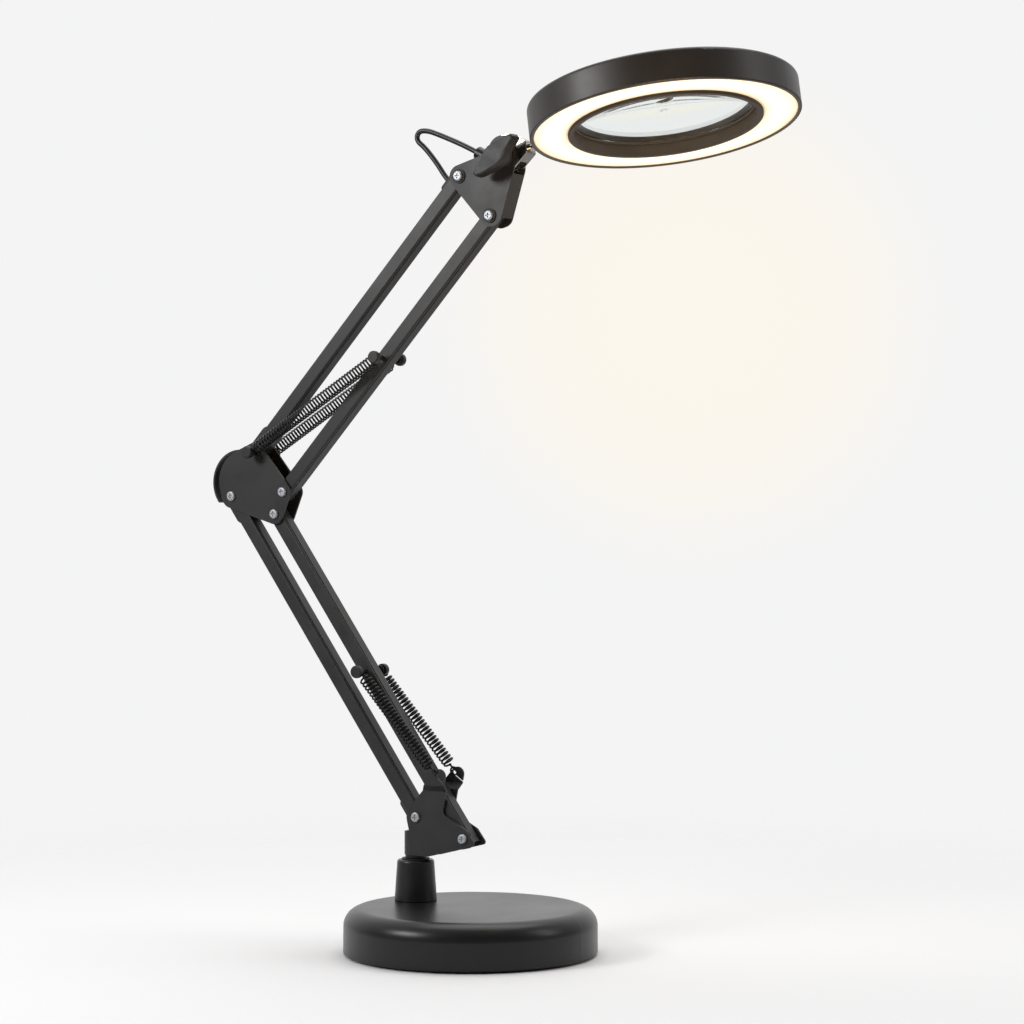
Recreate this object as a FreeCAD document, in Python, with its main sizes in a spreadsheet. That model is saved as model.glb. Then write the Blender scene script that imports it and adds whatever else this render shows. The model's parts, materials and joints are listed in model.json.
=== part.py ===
import FreeCAD, Part
import math
import os
import re

import Sketcher

# A desk magnifying lamp: a weighted round base, a swivelling spring-balanced arm of four square
# tubes (two parallelograms joined by an elbow), and an LED ring head with a magnifying lens.
# Millimetres, +Z up. The origin is the centre of the base's underside. The arm lies in the plane
# y = post_y, its elbow towards -X and its head towards +X.
# "Arm frame" means measured from the foot of the post's axis: x forward, z up, y = 0 mid-arm.

doc = FreeCAD.newDocument("magnifying_lamp")
sheet = doc.addObject("Spreadsheet::Sheet", "Sizes")

SIZES = {
    # base
    "base_radius": (80.0, "radius of the round base"),
    "base_height": (29.3, "top of the base above the table"),
    "base_edge": (11.2, "rounding of the base's upper edge"),
    "base_skin": (2.2, "wall of the base cover"),
    "pad_thick": (1.4, "anti-slip pad"),
    "pad_radius": (76.0, "radius of the anti-slip pad"),
    "weight_radius": (73.0, "cast weight"),
    "weight_thick": (15.5, "cast weight"),
    "post_x": (-46.3, "post axis from the base's centre"),
    "post_y": (7.7, "post axis from the base's centre"),
    "socket_foot": (13.6, "radius of the tapered socket at its foot"),
    "socket_top": (11.8, "radius of the tapered socket at its top"),
    "socket_tall": (26.4, "height of the socket above the base"),
    "bush_wall": (1.5, "wall of the swivel bush"),
    "swivel_radius": (5.9, "swivel pin"),
    "running_gap": (0.05, "radial clearance of a turning fit"),
    # brackets, plates and fasteners
    "gap_width": (12.0, "space between a bracket's two plates"),
    "plate_thick": (1.2, "bracket sheet"),
    "bolt_radius": (1.95, "pivot bolt shank"),
    "head_radius": (3.2, "pivot bolt head"),
    "head_tall": (1.8, "pivot bolt head"),
    "sleeve_radius": (3.0, "spacer sleeve that a tube turns on"),
    "washer_radius": (5.6, "nylon washer"),
    "washer_thick": (0.5, "nylon washer"),
    # tubes
    "tube_deep": (10.6, "tube across the arm"),
    "tube_high": (9.4, "tube in the arm's plane"),
    "tube_corner": (1.2, "outer corner of a tube"),
    "tube_wall": (1.0, "tube wall"),
    "tube_past": (4.5, "tube past its pivot"),
    "hole_shift": (1.2, "tube centre line outward of its pivot holes"),
    "lip_long": (18.6, "cord guide lip along the tube"),
    "lip_wide": (6.2, "cord guide lip across the tube"),
    "lip_tall": (2.6, "cord guide lip above the tube"),
    "mouth_back": (9.3, "cord guide mouth from the pivot"),
    "cord_radius": (1.7, "sheathed lead"),
    "lead_radius": (0.85, "unsheathed lead inside the arm"),
    # lower parallelogram, arm frame
    "low_x": (5.0, "left lower pivot"),
    "low_z": (83.4, "left lower pivot"),
    "low_side_x": (35.2, "from the left to the right lower pivot"),
    "low_side_z": (-12.0, "from the left to the right lower pivot"),
    "low_reach_x": (-147.0, "lower arm from its foot to the elbow"),
    "low_reach_z": (205.8, "lower arm from its foot to the elbow"),
    "low_pin_at": (128.5, "spring pin along the right lower tube from its foot pivot"),
    "ear_x": (22.8, "spring hole in the lower bracket's ear"),
    "ear_z": (111.6, "spring hole in the lower bracket's ear"),
    # upper parallelogram
    "up_x": (-123.0, "left upper pivot, which is the elbow pin"),
    "up_z": (318.0, "left upper pivot, which is the elbow pin"),
    "up_side_x": (22.8, "from the left to the right upper pivot"),
    "up_side_z": (-26.3, "from the left to the right upper pivot"),
    "up_reach_x": (160.3, "upper arm from the elbow to the head bracket"),
    "up_reach_z": (172.6, "upper arm from the elbow to the head bracket"),
    "up_pin_at": (116.0, "spring pin along the right upper tube from its foot pivot"),
    "pin_radius": (1.6, "spring pin"),
    "pin_end": (16.4, "half length of a pin with knobs"),
    "knob_radius": (4.1, "round knob on a pin's end"),
    "knob_from": (13.2, "inner face of a pin's knob from mid-arm"),
    "knob_thick": (3.8, "round knob on a pin's end"),
    "spring_radius": (4.1, "outside of a spring's coils"),
    "spring_wire": (0.55, "radius of the spring wire"),
    "spring_y": (11.6, "spring axis from mid-arm"),
    # head joint and ring head
    "tilt_x": (71.14, "head tilt axis, arm frame"),
    "tilt_z": (499.96, "head tilt axis, arm frame"),
    "clamp_radius": (2.5, "clamp screw"),
    "cheek_rise": (3.6, "stem and cheek centre above the tilt axis"),
    "cheek_radius": (11.8, "round cheek of the yoke"),
    "stem_radius": (3.0, "stem that carries the head"),
    "head_lift": (10.3, "degrees the head's far side is raised"),
    "head_lean": (5.1, "degrees the head is rolled towards its far side"),
    "head_reach": (111.1, "tilt axis to the middle of the ring"),
    "stem_level": (11.2, "stem above the ring's lower face"),
    "ring_radius": (83.1, "outside of the ring head"),
    "ring_thick": (19.8, "thickness of the ring head"),
    "ring_wall": (2.4, "outer wall of the ring head"),
    "collar_outer": (59.8, "collar around the lens, flange"),
    "collar_inner": (56.5, "collar around the lens, bore"),
    "lens_radius": (56.2, "lens"),
    "lens_edge": (2.6, "lens thickness at its rim"),
    "lens_bulge": (4.4, "rise of each lens face"),
    "lens_level": (9.6, "middle of the lens above the ring's lower face"),
}

for row, (alias, (number, meaning)) in enumerate(SIZES.items(), start=1):
    sheet.set(f"A{row}", meaning)
    sheet.set(f"B{row}", str(number))
    sheet.setAlias(f"B{row}", alias)
doc.recompute()


# ---- small helpers ---------------------------------------------------------------------------

def bound(expression):
    """An expression on the sheet's cells, such as 'gap_width / 2', as other objects need it."""
    def with_sheet(word):
        return f"Sizes.{word.group()}" if word.group() in SIZES else word.group()
    return re.sub(r"[a-z_]+", with_sheet, str(expression))


def value(expression):
    """The number that such an expression gives."""
    return float(sheet.evalExpression(bound(expression)))


def vec(x=0.0, y=0.0, z=0.0):
    return FreeCAD.Vector(x, y, z)


def move(x=0.0, y=0.0, z=0.0):
    return FreeCAD.Placement(vec(x, y, z), FreeCAD.Rotation())


def turn(axis, degrees):
    return FreeCAD.Placement(vec(), FreeCAD.Rotation(axis, degrees))


def new_body(name, placement):
    body = doc.addObject("PartDesign::Body", name)
    body.Label = name
    body.Placement = placement
    return body


def new_sketch(body, role):
    sketch = body.newObject("Sketcher::SketchObject", "Sketch")
    plane = next(f for f in body.Origin.OriginFeatures if f.Role == role)
    sketch.AttachmentSupport = [(plane, "")]
    sketch.MapMode = "FlatFace"
    return sketch


def tie(sketch, geometry, corner, x, y):
    """Fix a point of a sketch at two expressions from the sketch's origin."""
    for kind, expression, axis in (("DistanceX", x, -2), ("DistanceY", y, -1)):
        number = value(expression)
        if abs(number) < 1e-9:
            sketch.addConstraint(Sketcher.Constraint("PointOnObject", geometry, corner, axis))
            continue
        index = sketch.addConstraint(
            Sketcher.Constraint(kind, -1, 1, geometry, corner, number))
        sketch.setExpression(f"Constraints[{index}]", bound(expression))


def add_circle(sketch, x, y, radius):
    circle = Part.Circle(vec(value(x), value(y)), vec(0, 0, 1), value(radius))
    index = sketch.addGeometry(circle)
    tie(sketch, index, 3, x, y)
    rule = sketch.addConstraint(Sketcher.Constraint("Radius", index, value(radius)))
    sketch.setExpression(f"Constraints[{rule}]", bound(radius))


def add_polygon(sketch, corners):
    """Closed straight-sided outline through corners given as pairs of expressions."""
    spots = [vec(value(x), value(y)) for x, y in corners]
    first = sketch.GeometryCount
    count = len(spots)
    for i in range(count):
        sketch.addGeometry(Part.LineSegment(spots[i], spots[(i + 1) % count]))
    for i in range(count):
        sketch.addConstraint(Sketcher.Constraint(
            "Coincident", first + i, 2, first + (i + 1) % count, 1))
    for i, (x, y) in enumerate(corners):
        tie(sketch, first + i, 1, x, y)


def add_belt(sketch, rounds):
    """Closed outline that runs like a belt, anticlockwise, around rounds (x, y, radius).

    A negative radius is a hollow corner, and zero is a sharp one.
    """
    count = len(rounds)
    normals = []
    for i in range(count):
        x1, y1, r1 = rounds[i]
        x2, y2, r2 = rounds[(i + 1) % count]
        way = math.atan2(y2 - y1, x2 - x1)
        normals.append(way - math.acos((r1 - r2) / math.hypot(x2 - x1, y2 - y1)))

    def touch(i, normal):
        x, y, r = rounds[i]
        return vec(x + r * math.cos(normal), y + r * math.sin(normal))

    for i in range(count):
        x, y, r = rounds[i]
        arriving = normals[i - 1]
        leaving = normals[i]
        if r > 0:
            circle = Part.Circle(vec(x, y), vec(0, 0, 1), r)
            sketch.addGeometry(Part.ArcOfCircle(circle, arriving, leaving))
        if r < 0:
            circle = Part.Circle(vec(x, y), vec(0, 0, 1), -r)
            sketch.addGeometry(Part.ArcOfCircle(circle, leaving + math.pi, arriving + math.pi))
        start = touch(i, leaving)
        end = touch((i + 1) % count, leaving)
        sketch.addGeometry(Part.LineSegment(start, end))


def pad(body, sketch, length, middle=False, reverse=False):
    feature = body.newObject("PartDesign::Pad", "Pad")
    feature.Profile = sketch
    feature.Midplane = middle
    feature.Reversed = reverse
    feature.setExpression("Length", bound(length))
    doc.recompute()
    return feature


def cut(body, sketch, length=None, middle=False, reverse=False):
    """Pocket a sketch out of a body, right through when no length is given."""
    before = body.Shape.Volume
    feature = body.newObject("PartDesign::Pocket", "Pocket")
    feature.Profile = sketch
    feature.Midplane = middle
    feature.Reversed = reverse
    if length is None:
        feature.Type = "ThroughAll"
    else:
        feature.setExpression("Length", bound(length))
    doc.recompute()
    if body.Shape.Volume > before - 1e-3:
        raise RuntimeError(f"{body.Label}: a pocket removed nothing")
    return feature


def revolve(body, corners):
    """Turn an outline of (radius, height) expressions about the body's Z axis."""
    sketch = new_sketch(body, "XZ_Plane")
    add_polygon(sketch, corners)
    feature = body.newObject("PartDesign::Revolution", "Revolution")
    feature.Profile = sketch
    feature.ReferenceAxis = (sketch, ["V_Axis"])
    feature.Angle = 360
    doc.recompute()
    return feature


def round_edges(body, picked, radius):
    """Fillet the edges of a body's last feature for which picked(edge) is true."""
    base = body.Tip
    names = [f"Edge{i}" for i, edge in enumerate(base.Shape.Edges, start=1) if picked(edge)]
    feature = body.newObject("PartDesign::Fillet", "Fillet")
    feature.Base = (base, names)
    feature.setExpression("Radius", bound(radius))
    doc.recompute()
    return feature


def rim_at(radius, height):
    """Picks the full circles of one radius at one height."""
    def picked(edge):
        if edge.Curve.TypeId != "Part::GeomCircle":
            return False
        return abs(edge.Curve.Radius - radius) < 1e-4 and abs(edge.Curve.Center.z - height) < 1e-4
    return picked


def rod(x, y_from, z, radius, length):
    """A round bar along +Y whose radius and length follow the sheet."""
    piece = doc.addObject("Part::Cylinder", "Rod")
    piece.setExpression("Radius", bound(radius))
    piece.setExpression("Height", bound(length))
    spot = vec(value(x), value(y_from), value(z))
    piece.Placement = FreeCAD.Placement(spot, FreeCAD.Rotation(vec(1, 0, 0), -90))
    return piece


def less(base, tool):
    piece = doc.addObject("Part::Cut", "Cut")
    piece.Base = base
    piece.Tool = tool
    return piece


def joined(pieces):
    piece = doc.addObject("Part::MultiFuse", "Fuse")
    piece.Shapes = pieces
    return piece


def set_of(name, pieces, placement):
    """One node that holds several separate equal pieces."""
    group = doc.addObject("Part::Compound", name)
    group.Label = name
    group.Links = pieces
    group.Placement = placement
    return group


def ring_piece(spot, y_from, outer, inner, length):
    return less(rod(spot[0], y_from, spot[1], outer, length),
                rod(spot[0], f"({y_from}) - 1", spot[1], inner, f"({length}) + 2"))


def pan_bolt(spot, under_head, shank_end):
    """Pan head bolt along Y, head towards -Y, with a cross recess."""
    x, z = spot
    head = rod(x, f"({under_head}) - head_tall", z, "head_radius", "head_tall")
    soft = doc.addObject("Part::Fillet", "HeadRound")
    soft.Base = head
    doc.recompute()
    face_y = value(f"({under_head}) - head_tall")
    rim = [i for i, edge in enumerate(head.Shape.Edges, start=1)
           if abs(edge.CenterOfMass.y - face_y) < 1e-4]
    soft.Edges = [(i, 0.9, 0.9) for i in rim]
    shank = rod(x, under_head, z, "bolt_radius", f"({shank_end}) - ({under_head})")
    blades = []
    for wide, high in ((3.4, 0.7), (0.7, 3.4)):
        blade = doc.addObject("Part::Box", "Blade")
        blade.Length = wide
        blade.Width = 0.9
        blade.Height = high
        corner = vec(value(x) - wide / 2, face_y - 0.1, value(z) - high / 2)
        blade.Placement = FreeCAD.Placement(corner, FreeCAD.Rotation())
        blades.append(blade)
    return less(joined([soft, shank]), joined(blades))


def hex_nut(spot, y_from, flats, thick, bore):
    """Hexagon nut along Y."""
    prism = doc.addObject("Part::Prism", "Hexagon")
    prism.Polygon = 6
    prism.Circumradius = flats / math.sqrt(3)
    prism.Height = thick
    place = vec(value(spot[0]), value(y_from), value(spot[1]))
    prism.Placement = FreeCAD.Placement(place, FreeCAD.Rotation(vec(1, 0, 0), -90))
    return less(prism, rod(spot[0], f"({y_from}) - 1", spot[1], bore, thick + 2))


def fused(name, pieces, placement):
    piece = joined(pieces)
    piece.Label = name
    piece.Placement = placement
    return piece


def from_shape(name, shape, placement):
    piece = doc.addObject("Part::Feature", name)
    piece.Label = name
    piece.Shape = shape
    piece.Placement = placement
    return piece


def bent_path(points, name):
    """Straight runs joined by tangent arcs, as large as the runs allow."""
    edges = []
    radii = []
    last = points[0]
    for before, corner, after in zip(points, points[1:], points[2:]):
        back = before - corner
        ahead = after - corner
        half = (math.pi - back.getAngle(ahead)) / 2
        trim = 0.45 * min(back.Length, ahead.Length)
        radius = trim / math.tan(half)
        radii.append(radius)
        start = corner + back.normalize() * trim
        end = corner + ahead.normalize() * trim
        inward = (back + ahead).normalize()
        middle = corner + inward * (radius / math.cos(half) - radius)
        edges.append(Part.LineSegment(last, start).toShape())
        edges.append(Part.Arc(start, middle, end).toShape())
        last = end
    edges.append(Part.LineSegment(last, points[-1]).toShape())
    print(name, "arc radii", [round(r, 1) for r in radii])
    return Part.Wire(edges)


def bent_tube(points, radius, name):
    path = bent_path(points, name)
    first = path.Edges[0]
    circle = Part.makeCircle(radius, points[0], first.tangentAt(first.FirstParameter))
    tube = path.makePipe(Part.Face(Part.Wire(circle)))
    if tube.ShapeType != "Solid":
        tube = tube.Solids[0]
    expected = math.pi * radius ** 2 * path.Length
    print(name, "length", round(path.Length, 1), "volume ratio", round(tube.Volume / expected, 4))
    return tube


# ---- where the pivots are, in the arm frame --------------------------------------------------

FOOT_LEFT = ("low_x", "low_z")
FOOT_RIGHT = ("low_x + low_side_x", "low_z + low_side_z")
ELBOW_LEFT = ("low_x + low_reach_x", "low_z + low_reach_z")
ELBOW_RIGHT = ("low_x + low_side_x + low_reach_x", "low_z + low_side_z + low_reach_z")
ELBOW_PIN = ("up_x", "up_z")
ELBOW_UPPER = ("up_x + up_side_x", "up_z + up_side_z")
HEAD_LEFT = ("up_x + up_reach_x", "up_z + up_reach_z")
HEAD_RIGHT = ("up_x + up_side_x + up_reach_x", "up_z + up_side_z + up_reach_z")
TILT = ("tilt_x", "tilt_z")
EAR = ("ear_x", "ear_z")

ARM = move(value("post_x"), value("post_y"))


def spot(pivot):
    return vec(value(pivot[0]), 0, value(pivot[1]))


def slope(reach_x, reach_z):
    return math.degrees(math.atan2(value(reach_z), value(reach_x)))


LOWER_SLOPE = slope("low_reach_x", "low_reach_z")
UPPER_SLOPE = slope("up_reach_x", "up_reach_z")
LOWER_LONG = "sqrt(low_reach_x ^ 2 + low_reach_z ^ 2)"
UPPER_LONG = "sqrt(up_reach_x ^ 2 + up_reach_z ^ 2)"


def along_arm(pivot, degrees):
    """Frame of a tube: x along it from its foot pivot, z towards its outer side."""
    return ARM * FreeCAD.Placement(spot(pivot), FreeCAD.Rotation(vec(0, 1, 0), -degrees))


# ---- base ------------------------------------------------------------------------------------

base_pad = new_body("base_pad", move())
revolve(base_pad, [("0", "0"), ("pad_radius", "0"), ("pad_radius", "pad_thick"),
                   ("0", "pad_thick")])

base_bottom_plate = new_body("base_bottom_plate", move())
revolve(base_bottom_plate, [
    ("0", "pad_thick"), ("base_radius - base_skin - 0.3", "pad_thick"),
    ("base_radius - base_skin - 0.3", "pad_thick + 1.2"), ("0", "pad_thick + 1.2")])

WEIGHT_FLOOR = "pad_thick + 1.3"
base_weight = new_body("base_weight", move())
revolve(base_weight, [
    ("0", WEIGHT_FLOOR), ("weight_radius", WEIGHT_FLOOR),
    ("weight_radius", f"{WEIGHT_FLOOR} + weight_thick"),
    ("0", f"{WEIGHT_FLOOR} + weight_thick")])
round_edges(base_weight, rim_at(value("weight_radius"), value(f"{WEIGHT_FLOOR} + weight_thick")), 4)
weight_hole = new_sketch(base_weight, "XY_Plane")
add_circle(weight_hole, "post_x", "post_y", "8.4")
cut(base_weight, weight_hole, middle=True)

base_cover = new_body("base_cover", move())
revolve(base_cover, [
    ("0", "base_height"), ("base_radius", "base_height"), ("base_radius + 0.2", "0.9"),
    ("base_radius - base_skin", "0.9"),
    ("base_radius - base_skin", "base_height - base_skin"), ("0", "base_height - base_skin")])
round_edges(base_cover, rim_at(value("base_radius"), value("base_height")), "base_edge")
round_edges(base_cover, rim_at(value("base_radius - base_skin"), value("base_height - base_skin")),
            "base_edge - base_skin")
round_edges(base_cover, rim_at(value("base_radius + 0.2"), 0.9), 1.2)
cover_hole = new_sketch(base_cover, "XY_Plane")
add_circle(cover_hole, "post_x", "post_y", "8.2")
cut(base_cover, cover_hole, reverse=True)

SOCKET_TOP = "base_height + socket_tall"
BUSH_OUTER = "swivel_radius + running_gap + bush_wall"
post_socket = new_body("post_socket", ARM)
revolve(post_socket, [
    (f"{BUSH_OUTER}", "base_height + 3"), ("0", "base_height + 3"), ("0", "base_height - 8"),
    ("8.1", "base_height - 8"), ("8.1", "base_height"), ("socket_foot", "base_height"),
    ("socket_top", SOCKET_TOP), (f"{BUSH_OUTER}", SOCKET_TOP)])
round_edges(post_socket, rim_at(value("socket_top"), value(SOCKET_TOP)), 1.8)
round_edges(post_socket, rim_at(value("socket_foot"), value("base_height")), 0.5)

socket_bush = new_body("socket_bush", ARM)
revolve(socket_bush, [
    ("swivel_radius + running_gap", "base_height + 3.2"), (f"{BUSH_OUTER} - 0.02", "base_height + 3.2"),
    (f"{BUSH_OUTER} - 0.02", f"{SOCKET_TOP} + 0.02"), (f"{BUSH_OUTER} + 1.4", f"{SOCKET_TOP} + 0.02"),
    (f"{BUSH_OUTER} + 1.4", f"{SOCKET_TOP} + 0.9"),
    ("swivel_radius + running_gap", f"{SOCKET_TOP} + 0.9")])

# ---- swivel: pin and folded lower bracket ----------------------------------------------------

swivel_pin = new_body("swivel_pin", ARM)
revolve(swivel_pin, [
    ("0", "base_height + 4"), ("swivel_radius - 0.8", "base_height + 4"),
    ("swivel_radius", "base_height + 4.8"), ("swivel_radius", f"{SOCKET_TOP} + 1.2"),
    ("swivel_radius + 0.8", f"{SOCKET_TOP} + 1.2"), ("swivel_radius + 0.8", "low_z - 24.8"),
    ("swivel_radius", "low_z - 24.8"), ("swivel_radius", "low_z - 11.8"), ("0", "low_z - 11.8")])

# The bracket is one strip bent round the pin: a half-round wrap and two legs, trimmed to the
# plates' outline.
half_out = value("gap_width / 2 + plate_thick")
half_in = value("gap_width / 2")
EAR_BEND = 99.5      # the ears bend outward here, to the springs' planes
EAR_Y = 10.9
lower_bracket = new_body("lower_bracket", ARM)
strip = new_sketch(lower_bracket, "XY_Plane")
legs_end = 60.0
add_belt(strip, [(0, 0, half_out), (legs_end, -half_out, 0), (legs_end, -half_in, 0),
                 (0, 0, -half_in), (legs_end, half_in, 0), (legs_end, half_out, 0)])
pad(lower_bracket, strip, 120)
above = new_sketch(lower_bracket, "XY_Plane")
above.AttachmentOffset = move(0, 0, EAR_BEND + 1.4)
add_polygon(above, [("-20", "-20"), ("80", "-20"), ("80", "20"), ("-20", "20")])
cut(lower_bracket, above, 40, reverse=True)
flare = new_sketch(lower_bracket, "YZ_Plane")
flare.AttachmentOffset = move(0, 0, 6)
for side in (1, -1):
    corners = [(half_in, EAR_BEND), (half_out, EAR_BEND), (half_out, EAR_BEND + 1.2),
               (EAR_Y + 0.6, EAR_BEND + 5.0), (EAR_Y + 0.6, EAR_BEND + 20), (EAR_Y - 0.6, EAR_BEND + 20),
               (EAR_Y - 0.6, EAR_BEND + 5.6), (half_in, EAR_BEND + 1.8)]
    add_polygon(flare, [(side * y, z) for y, z in corners[::side]])
pad(lower_bracket, flare, 32)
foot = spot(FOOT_LEFT)
right_foot = spot(FOOT_RIGHT)
trim = new_sketch(lower_bracket, "XZ_Plane")
add_polygon(trim, [("-20", "-10"), ("80", "-10"), ("80", "140"), ("-20", "140")])
add_belt(trim, [
    (-5.2, 61.4, 2.6), (14.0, 63.8, 5.0), (right_foot.x + 6.4, right_foot.z - 2.6, 1.8),
    (right_foot.x - 0.6, right_foot.z + 2.0, 4.6), (29.4, 88.6, -4.0),
    (value("ear_x") + 2.2, value("ear_z") - 1.0, 4.6), (foot.x, foot.z, 7.8),
    (foot.x - 5.5, foot.z - 8.9, 0.0), (-8.5, foot.z - 9.9, 0.0)])
cut(lower_bracket, trim, middle=True)
holes = new_sketch(lower_bracket, "XZ_Plane")
for pivot in (FOOT_LEFT, FOOT_RIGHT):
    add_circle(holes, pivot[0], pivot[1], "bolt_radius + 0.05")
add_circle(holes, "ear_x", "ear_z", "1.3")
add_polygon(holes, [("ear_x + 0.2", "ear_z - 2.2"), ("ear_x + 8", "ear_z - 7.4"),
                    ("ear_x + 8", "ear_z - 6.4"), ("ear_x + 0.8", "ear_z - 1.6")])
cut(lower_bracket, holes, middle=True)


# ---- pivot hardware, the same in all three brackets ------------------------------------------

PLATE_OUT = "gap_width / 2 + plate_thick"


def pivot_hardware(prefix, pivots, bolted, pack=0.0):
    """Bolts, nuts, sleeves and nylon washers of one bracket; pack is a spacer under the heads."""
    head_seat = f"-({PLATE_OUT}) - {pack}"
    set_of(f"{prefix}_bolts",
           [pan_bolt(p, head_seat, f"{PLATE_OUT} + 3.6") for p in bolted], ARM)
    set_of(f"{prefix}_nuts",
           [hex_nut(p, PLATE_OUT, 6.6, 2.8, "bolt_radius + 0.02") for p in bolted], ARM)
    set_of(f"{prefix}_sleeves",
           [ring_piece(p, "-gap_width / 2", "sleeve_radius", "bolt_radius + 0.05", "gap_width")
            for p in pivots], ARM)
    washers = []
    for p in pivots:
        for y_from in ("-gap_width / 2", "gap_width / 2 - washer_thick"):
            washers.append(ring_piece(p, y_from, "washer_radius", "sleeve_radius + 0.03",
                                      "washer_thick"))
    set_of(f"{prefix}_washers", washers, ARM)


pivot_hardware("lower_pivot", [FOOT_LEFT, FOOT_RIGHT], [FOOT_LEFT, FOOT_RIGHT])


# ---- tubes and cord guides -------------------------------------------------------------------

def rounded_box(sketch, wide, high, corner, centre_y):
    side = value(wide) / 2 - value(corner)
    up = value(high) / 2 - value(corner)
    mid = value(centre_y)
    r = value(corner)
    add_belt(sketch, [(side, mid - up, r), (side, mid + up, r),
                      (-side, mid + up, r), (-side, mid - up, r)])


LEAD_LEVEL = 3.9     # the lead inside a tube passes the pivot sleeves on their outer side


def arm_tube(name, pivot, degrees, long, guided, pin_at=None):
    """Square tube along x from its foot pivot, with a shallow rolled seam beside a corner."""
    body = new_body(name, along_arm(pivot, degrees) * move(-value("tube_past")))
    section = new_sketch(body, "YZ_Plane")
    rounded_box(section, "tube_deep", "tube_high", "tube_corner", "hole_shift")
    rounded_box(section, "tube_deep - 2 * tube_wall", "tube_high - 2 * tube_wall", "0.4", "hole_shift")
    pad(body, section, f"{long} + 2 * tube_past")
    seam = new_sketch(body, "YZ_Plane")
    low = "hole_shift - tube_high / 2"
    add_polygon(seam, [("-tube_deep / 2 + 1.4", f"{low} - 1"), ("-tube_deep / 2 + 2.4", f"{low} - 1"),
                       ("-tube_deep / 2 + 2.4", f"{low} + 0.7"),
                       ("-tube_deep / 2 + 1.4", f"{low} + 0.7")])
    cut(body, seam, reverse=True)
    bores = new_sketch(body, "XZ_Plane")
    for x in ("tube_past", f"tube_past + {long}"):
        add_circle(bores, x, "0", "sleeve_radius + running_gap")
    if pin_at:
        add_circle(bores, f"tube_past + {pin_at}", "hole_shift", "pin_radius + 0.03")
    cut(body, bores, middle=True)
    if guided:
        slots = new_sketch(body, "XY_Plane")
        for x in (value("tube_past"), value(f"tube_past + {long}")):
            inward = 1 if x < 50 else -1
            reach = value("lip_long - lip_wide") / 2
            middle = x + inward * (value("lip_long") / 2 - 2)
            r = value("lip_wide") / 2 + 0.05
            add_belt(slots, [(middle - reach, 0, r), (middle + reach, 0, r)])
        cut(body, slots, 30, reverse=True)
    return body


def cord_guide(name, pivot, degrees, long, at_foot):
    """Grommet in a slot of the tube's outer wall: inner flange, neck, lip and a cord mouth."""
    place = along_arm(pivot, degrees)
    if not at_foot:
        place = place * move(value(long)) * turn(vec(0, 0, 1), 180)
    body = new_body(name, place)
    centre = value("lip_long") / 2 - 2
    wall_out = "hole_shift + tube_high / 2"

    def slab(grow, floor, tall):
        sketch = new_sketch(body, "XY_Plane")
        reach = value("lip_long - lip_wide") / 2
        radius = value("lip_wide") / 2 + grow
        add_belt(sketch, [(centre - reach, 0, radius), (centre + reach, 0, radius)])
        sketch.AttachmentOffset = move(0, 0, value(floor))
        return pad(body, sketch, tall)

    slab(0.0, f"{wall_out} - tube_wall - 0.5", "tube_wall + 0.5 + lip_tall")
    top = value(f"{wall_out} + lip_tall")
    round_edges(body, lambda e: min(v.Z for v in e.Vertexes) > top - 1e-4, 1.0)
    slab(0.8, f"{wall_out} - tube_wall - 0.85", "0.8")
    mouth = new_sketch(body, "XY_Plane")
    add_circle(mouth, "mouth_back", "0", "cord_radius + 0.1")
    cut(body, mouth, reverse=True)
    groove = new_sketch(body, "XY_Plane")
    side = value("lead_radius") + 0.1
    add_polygon(groove, [(-30, -side), (30, -side), (30, side), (-30, side)])
    cut(body, groove, LEAD_LEVEL + side, reverse=True)
    return body


arm_tube("lower_left_tube", FOOT_LEFT, LOWER_SLOPE, LOWER_LONG, guided=True)
arm_tube("lower_right_tube", FOOT_RIGHT, LOWER_SLOPE, LOWER_LONG, guided=False,
         pin_at="low_pin_at")
arm_tube("upper_left_tube", ELBOW_PIN, UPPER_SLOPE, UPPER_LONG, guided=True)
arm_tube("upper_right_tube", ELBOW_UPPER, UPPER_SLOPE, UPPER_LONG, guided=False,
         pin_at="up_pin_at")
cord_guide("lower_guide_bottom", FOOT_LEFT, LOWER_SLOPE, LOWER_LONG, at_foot=True)
cord_guide("lower_guide_top", FOOT_LEFT, LOWER_SLOPE, LOWER_LONG, at_foot=False)
cord_guide("upper_guide_bottom", ELBOW_PIN, UPPER_SLOPE, UPPER_LONG, at_foot=True)
cord_guide("upper_guide_top", ELBOW_PIN, UPPER_SLOPE, UPPER_LONG, at_foot=False)


# ---- leads inside the arm --------------------------------------------------------------------

def tube_lead(name, pivot, degrees, first, last):
    length = last - first
    lead = doc.addObject("Part::Cylinder", name)
    lead.Label = name
    lead.setExpression("Radius", bound("lead_radius"))
    lead.Height = length
    lead.Placement = along_arm(pivot, degrees) * FreeCAD.Placement(
        vec(first, 0, LEAD_LEVEL), FreeCAD.Rotation(vec(0, 1, 0), 90))
    return lead


past = value("tube_past")
tube_lead("lower_lead", FOOT_LEFT, LOWER_SLOPE, value("mouth_back + 3"), value(LOWER_LONG) + past)
tube_lead("upper_lead", ELBOW_PIN, UPPER_SLOPE, -past, value(UPPER_LONG) - value("mouth_back + 3"))


# ---- elbow -----------------------------------------------------------------------------------

left = spot(ELBOW_LEFT)
right = spot(ELBOW_RIGHT)
pin = spot(ELBOW_PIN)
upper = spot(ELBOW_UPPER)
BACK_X = left.x + 11.0      # centre of the elbow's round back
BACK_Z = left.z + 9.8
BACK_R = 21.4


def elbow_outline():
    return [(left.x, left.z, 8.0), (right.x, right.z, 6.8), (upper.x, upper.z, 6.2),
            (pin.x, pin.z, 6.8), (BACK_X, BACK_Z, BACK_R)]


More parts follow.
